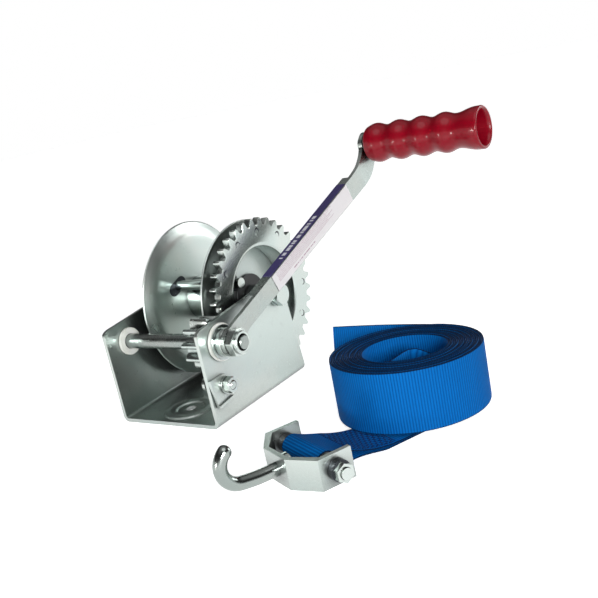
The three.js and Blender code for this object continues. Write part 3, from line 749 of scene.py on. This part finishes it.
# ---------------------------------------------------------------- drum axle
# A bolt through both cheeks carries the drum; spacer tubes keep it in the middle.
for name in ("axle_bolt", "axle_washer", "axle_nut", "axle_spacer_left"):
    paint(nodes[name], turned_finish)
    eased(nodes[name], 0.3 * mm)
spacer = [(31.8, 6.3), (55.2, 6.3), (55.2, 10.5), (31.8, 10.5)]
fitted(turned("axle_spacer_right_tube", rounded(spacer, 0.5), drum_axis), "frame", turned_finish,
       "zinc_plate", "axle_spacer_right")

# ---------------------------------------------------------------- crank shaft
# A turned shaft with a cut pinion beside the near cheek, running in flanged nylon bushes,
# and clamped to the arm by a hexagon nut on its reduced end.
shaft_axis = Matrix.Translation(Vector((0, -42.34, 71.5)) * mm)


def threaded(start, end, radius, pitch=1.5):
    """Outline points of a thread, one vee for each turn."""
    turns = int((end - start) / pitch)
    depth = 0.55 * pitch
    return [point for i in range(turns) for point in (
        (start + i * pitch, radius - depth), (start + (i + 0.5) * pitch, radius))]


shaft = [(-68, 0), (-68, 6.2), (-67.2, 7), (-65.4, 7), (-65.4, 5.6), (-63.6, 5.6), (-63.6, 7)]
shaft += [(68.5, 7), (68.5, 6)]
shaft += threaded(72, 84, 6) + [(84.8, 6), (86.4, 6), (87, 5.4), (87, 0)]
# Its colours are darkened to 0.6 of the sheet's, painted shade.
shaft_finish = plated("zinc_shaft", 0.26, (9, 1, 1), 0.02, 0.8, 0.6)
fitted(turned("crank_shaft_turned", shaft, shaft_axis), "crank", shaft_finish, "zinc_plate", "crank_shaft")


def pinion_outline(turn):
    tip = tooth_radius(turn, 10, mesh_line + math.pi + math.pi / 10)
    return [(33.5, 7.1), (33.5, tip - 0.7), (34.2, tip), (53.3, tip), (54, tip - 0.7), (54, 7.1)]


fitted(turned("pinion_cut", pinion_outline, shaft_axis, 300), "crank", machined, "zinc_plate", "pinion")
near_bush = [(55.5, 7.1), (61.8, 7.1), (61.8, 17), (59.3, 17), (59.3, 10), (55.5, 10)]
far_bush = [(-59, 7.1), (-52.1, 7.1), (-52.1, 13), (-55.2, 13), (-55.2, 10), (-59, 10)]
fitted(turned("shaft_bush_near_moulded", rounded(near_bush, 0.8), shaft_axis), "frame", nylon, "nylon",
       "shaft_bush_near")
fitted(turned("shaft_bush_far_moulded", rounded(far_bush, 0.8), shaft_axis), "frame", nylon, "nylon",
       "shaft_bush_far")
for name, start, end, reach in (("shaft_washer_near", 62.1, 63.7, 15.5), ("crank_spacer", 64, 70.2, 13)):
    outline = [(start, 7.25), (end, 7.25), (end, reach), (start, reach)]
    washer = turned(f"{name}_turned", rounded(outline, 0.4), shaft_axis)
    fitted(washer, "crank", turned_finish, "zinc_plate", name)
crank_nut = nut("crank_nut_hex", 74.8, 82, 23, 6.3, shaft_axis, 0.35)
fitted(crank_nut, "crank", machined, "zinc_plate", "crank_nut")
collar = [(82, 6.9), (83.8, 6.9), (84.8, 7.6), (84.8, 9.3), (84.1, 10), (82, 10)]
fitted(turned("crank_nut_collar", collar, shaft_axis), "crank", machined, "zinc_plate")
for name in ("shaft_washer_far", "shaft_clip"):
    paint(nodes[name], black_steel if name == "shaft_clip" else turned_finish)
    eased(nodes[name], 0.2 * mm)

# ---------------------------------------------------------------- crank arm
# Pressed from 4 mm strip with its edges turned in, cranked outwards to clear the cheek.
# Its colours are darkened to 0.75 of the sheet's, painted shade, with a wide reach of painted shade near
# other parts.
arm_finish = plated("zinc_arm", 0.28, (1, 1, 1), 0.04, 0.9, 0.75)
paint(nodes["crank_arm"], arm_finish)
eased(nodes["crank_arm"], 0.9 * mm, 3)

# The printed label is wrapped over the arm's edge: a violet band on the lip and a white
# field on the wide face. Plain bars stand where the maker's print would be.
arm_angle = math.radians(23)


def arm_place(finish):
    """Millimetres along the arm from the shaft, up its wide face, and out over its lip."""
    x, y, z = [part * 1000 for part in finish.parts(finish.place())]
    y, z = y + 42.34, z - 71.5
    along = y * math.cos(arm_angle) + z * math.sin(arm_angle)
    up = z * math.cos(arm_angle) - y * math.sin(arm_angle) - along * 0.0177
    out = x - 70.5 - (along - 20) * 0.1302
    return along, up, out


def printed(name, ground, ink, rows, on_lip=False):
    """Printed film: rows of ink broken into words, under a thin clear varnish."""
    finish = Finish(name, {"Coat Weight": 0.3, "Coat Roughness": 0.15})
    along, up, out = arm_place(finish)
    across = out if on_lip else up
    worn = finish.noise(700, 3)
    color = finish.mix(worn * 0.25, (*ground, 1), tuple(0.8 * c for c in ground) + (1,))
    for middle, height, start, end, word in rows:
        inside = (abs(across - middle) < height / 2) * (along > start) * (along < end)
        letters = finish.node(
            "ShaderNodeTexNoise", {"noise_dimensions": "1D"},
            {"W": along * (word / 10) + middle, "Scale": 1.0, "Detail": 0.0})
        color = finish.mix(inside * (letters > 0.44) * (1 - worn * 0.3), color, (*ink, 1))
    finish.feed(Base_Color=color, Roughness=0.3 + worn * 0.15, Normal=finish.raise_surface(worn, 0.02 * mm))
    return finish


# Each row is its middle, height, start and end in mm, and how many words go to a centimetre.
band_rows = [(-1.25, 4.0, 96, 160, 2.8)]
small_print = [(9.0 - 1.5 * row, 0.6, 78, 176 - 5 * (row % 3), 8 + row) for row in range(7)]
field_rows = small_print + [(-3.2, 1.1, 100, 138, 4)]
paint(nodes["label_field"], printed("label_white", (0.78, 0.76, 0.77), (0.36, 0.2, 0.27), field_rows))
paint(nodes["label_band"], printed("label_violet", (0.03, 0.02, 0.11), (0.75, 0.75, 0.8), band_rows, True))

# ---------------------------------------------------------------- grip
# Glossy red plastic moulded with four swells for the fingers, open and flared at its outer
# end. It turns on a spindle that is riveted into the arm and nutted inside the mouth.
arm_length, arm_rise = 267, 22
grip_y = -42.34 + arm_length * math.cos(arm_angle) - arm_rise * math.sin(arm_angle)
grip_z = 71.5 + arm_length * math.sin(arm_angle) + arm_rise * math.cos(arm_angle)
grip_axis = Matrix.Translation(Vector((0, grip_y, grip_z)) * mm)
grip_start, grip_length = 104.5, 124


def grip_radius(s):
    """Outside radius of the grip at a distance from its closed end."""
    crest, valley, swell, first = 19.7, 16.8, 24.8, 11
    last = first + 3.5 * swell
    if s < 4:
        return 12.5 + 1.35 * math.sqrt(16 - (4 - s) ** 2)
    if s < last:
        return (crest + valley) / 2 + (crest - valley) / 2 * math.cos(2 * math.pi * (s - first) / swell)
    flare = min(1, (s - last) / (grip_length - 6 - last))
    return valley + (20.4 - valley) * (0.5 - 0.5 * math.cos(math.pi * flare))


grip_end = grip_start + grip_length
grip_floor = grip_start + 70
skin = [(grip_start + s, grip_radius(s)) for s in [0, 0.3, 0.9, 1.8, 3] + [4 + 1.5 * i for i in range(79)]]
mouth = [(grip_end - 1.2, 20.4), (grip_end - 0.3, 19.8), (grip_end, 18.8), (grip_end - 0.3, 17.8),
         (grip_end - 1.5, 17), (grip_end - 4, 16.2), (grip_floor + 4, 13.5), (grip_floor, 11.5),
         (grip_floor, 5.05)]
grip = turned("grip_moulded", [(grip_start, 5.05), *skin, *mouth], grip_axis, 128, 50)


def glossy(name, tint, shade):
    """Pigmented plastic: a wet gloss over faint moulding ripples and handling marks."""
    finish = Finish(name, {"Specular IOR Level": 0.15, "Coat Roughness": 0.1})
    ripples = finish.noise(90, 2)
    marks = finish.noise(260, 5, roughness=0.7).step(0.55, 0.75)
    grain = finish.noise(3000, 2)
    finish.feed(
        Base_Color=finish.mix(ripples, (*tint, 1), (*shade, 1)), Coat_Weight=0.35 - marks * 0.2,
        Roughness=0.3 + marks * 0.15 + grain * 0.06,
        Normal=finish.raise_surface(ripples * 0.7 + grain * 0.3, 0.12 * mm))
    return finish


red_plastic = glossy("plastic_red", (0.26, 0.001, 0.011), (0.2, 0.0008, 0.008))
fitted(grip, "grip", red_plastic, "red_plastic", "grip")
for name in ("grip_spindle", "spindle_collar", "grip_washer", "grip_nut"):
    paint(nodes[name], turned_finish)
    eased(nodes[name], 0.3 * mm)

# ---------------------------------------------------------------- pawl
# The ratchet pawl inside the near cheek is turned by a pressed lever outside it, through a
# bolt with a washer and a nut; a spring keeps it where it is set.
for name in ("pawl_lever", "pawl_bolt", "pawl_washer", "pawl_nut"):
    paint(nodes[name], sheet_finish if name == "pawl_lever" else turned_finish)
    eased(nodes[name], 0.3 * mm)
for name in ("pawl", "pawl_spring"):
    paint(nodes[name], black_steel)
    smooth(nodes[name])
eased(nodes["pawl"], 0.4 * mm)

# ---------------------------------------------------------------- hook bracket
# Flat steel bent to half an octagon and plated. The clevis bolt crosses it inside a nylon
# sleeve, with a black washer and a plated nut on one side.
paint(nodes["hook_bracket"], sheet_finish)
eased(nodes["hook_bracket"], 0.8 * mm, 3)
paint(nodes["clevis_washer"], black_steel)
eased(nodes["clevis_washer"], 1.2 * mm, 3)
for name in ("clevis_bolt", "clevis_nut"):
    paint(nodes[name], turned_finish)
    eased(nodes[name], 0.5 * mm)
paint(nodes["clevis_sleeve"], black_nylon)
eased(nodes["clevis_sleeve"], 0.3 * mm)

# ---------------------------------------------------------------- hook
# A round bar is upset behind the bracket's web, so that it swivels, and bent to an open
# hook with a domed tip.
rod_radius = 5.3
dome_steps = 10


def hook_line():
    """The rod's middle line in the bracket's upright plane, in mm, with the rod's heading."""
    place, heading, line = Vector((-16, 0)), 0.0, []
    straight = [(3, 0)] * 7
    sweep = [(2.04, math.radians(0.9))] * 10
    bend = [(1.144, math.radians(4.367))] * 30
    for length, turn in straight + sweep + bend + [(1, 0)]:
        line.append((place.copy(), heading))
        heading += turn
        place += Vector((-math.cos(heading - turn / 2), math.sin(heading - turn / 2))) * length
    dome = 5
    for step in range(dome_steps):
        angle = math.pi / 2 * step / (dome_steps - 1)
        ahead = Vector((-math.cos(heading), math.sin(heading))) * dome * math.sin(angle)
        line.append((place + ahead, heading))
    return line


def hook_stations():
    """Places the rod in the bracket; the last stations shrink into the domed tip."""
    to_part = on_bracket.to_3x3()
    line = hook_line()
    ways = []
    for number, (point, heading) in enumerate(line):
        dome_step = max(0, number - (len(line) - dome_steps))
        size = max(math.cos(math.pi / 2 * dome_step / (dome_steps - 1)), 0.03)
        upward = Vector((math.sin(heading), 0, math.cos(heading)))
        centre = on_bracket @ Vector((point.x * mm, 0, point.y * mm))
        ways.append((centre, to_part @ Vector((0, 1, 0)) * size, to_part @ upward * size))
    return ways


circle = [(rod_radius * mm * math.cos(a), rod_radius * mm * math.sin(a))
          for a in (i * math.pi / 16 for i in range(32))]
hook, _ = swept("hook_bent", hook_stations(), circle)
# Its colours are darkened to 0.55 of the sheet's, painted shade on the bend.
hook_finish = plated("zinc_hook", 0.16, (1, 9, 1), 0.012, 0.8, 0.55)
fitted(hook, "hook", hook_finish, "zinc_plate", "hook")
paint(nodes["hook_collar"], turned_finish)
eased(nodes["hook_collar"], 0.4 * mm)

# ---------------------------------------------------------------- floor and light
# A plain pale floor, a pale horizon and plain soft studio light; the darker ceiling gives
# the bright zinc something to reflect. The floor glows, which keeps it white to the eye and
# in the plating, but its glow hardly lights cloth and plastic.
floor_mesh = bpy.data.meshes.new("floor")
floor_mesh.from_pydata([(-9, -9, 0), (9, -9, 0), (9, 9, 0), (-9, 9, 0)], [], [(0, 1, 2, 3)])
floor = bpy.data.objects.new("floor", floor_mesh)
bpy.context.scene.collection.objects.link(floor)
floor_finish = Finish("floor_pale", {"Roughness": 0.9, "Specular IOR Level": 0.1, "Emission Strength": 0.8})
bounced = floor_finish.node("ShaderNodeLightPath", {}, {}, "Is Diffuse Ray")
glow = floor_finish.mix(bounced, (1, 1, 1, 1), (0.05, 0.05, 0.05, 1))
floor_finish.feed(Base_Color=(0.86, 0.87, 0.87, 1), Emission_Color=glow)
paint(floor, floor_finish)

world = bpy.data.worlds.new("studio")
bpy.context.scene.world = world
world.use_nodes = True
sky = world.node_tree
direction = sky.nodes.new("ShaderNodeTexCoord")
split = sky.nodes.new("ShaderNodeSeparateXYZ")
ramp = sky.nodes.new("ShaderNodeValToRGB")
stops = [(0.0, 1.0), (0.14, 1.0), (0.22, 0.08), (0.6, 0.03), (0.85, 0.4), (1.0, 0.5)]
for number, (height, level) in enumerate(stops):
    element = ramp.color_ramp.elements[number] if number < 2 else ramp.color_ramp.elements.new(height)
    element.position, element.color = height, (level, level, level, 1)
sky.links.new(direction.outputs["Generated"], split.inputs[0])
sky.links.new(split.outputs["Z"], ramp.inputs["Fac"])
sky.links.new(ramp.outputs["Color"], sky.nodes["Background"].inputs["Color"])
# Cloth and plastic get a tenth of this light, and the plating shows all of it.
ray = sky.nodes.new("ShaderNodeLightPath")
strength = sky.nodes.new("ShaderNodeMapRange")
strength.inputs["To Min"].default_value, strength.inputs["To Max"].default_value = 1.0, 0.1
sky.links.new(ray.outputs["Is Diffuse Ray"], strength.inputs["Value"])
sky.links.new(strength.outputs["Result"], sky.nodes["Background"].inputs["Strength"])
bpy.context.scene.view_settings.view_transform = "Standard"

sun_data = bpy.data.lights.new("broad_light", "SUN")
sun_data.energy, sun_data.angle = 0.7, math.radians(50)
sun = bpy.data.objects.new("broad_light", sun_data)
sun.rotation_euler = Vector((-0.35, 0.25, -1)).to_track_quat("-Z", "Y").to_euler()
bpy.context.scene.collection.objects.link(sun)


def softbox(name, place, size, power, color=(1, 1, 1)):
    """A large square light that faces the object."""
    light = bpy.data.lights.new(name, "AREA")
    light.size, light.energy, light.color = size, power, color
    lamp = bpy.data.objects.new(name, light)
    lamp.location = place
    middle_of_winch = Vector((0.08, 0, 0.08))
    lamp.rotation_euler = (middle_of_winch - Vector(place)).to_track_quat("-Z", "Y").to_euler()
    bpy.context.scene.collection.objects.link(lamp)


softbox("front_left", (-0.35, -1.3, 0.12), 0.14, 5, (1, 0.95, 0.9))
softbox("front_right", (1.1, -1.0, 0.42), 0.35, 18)
softbox("back_right", (1.1, 1.5, 0.6), 0.8, 8)
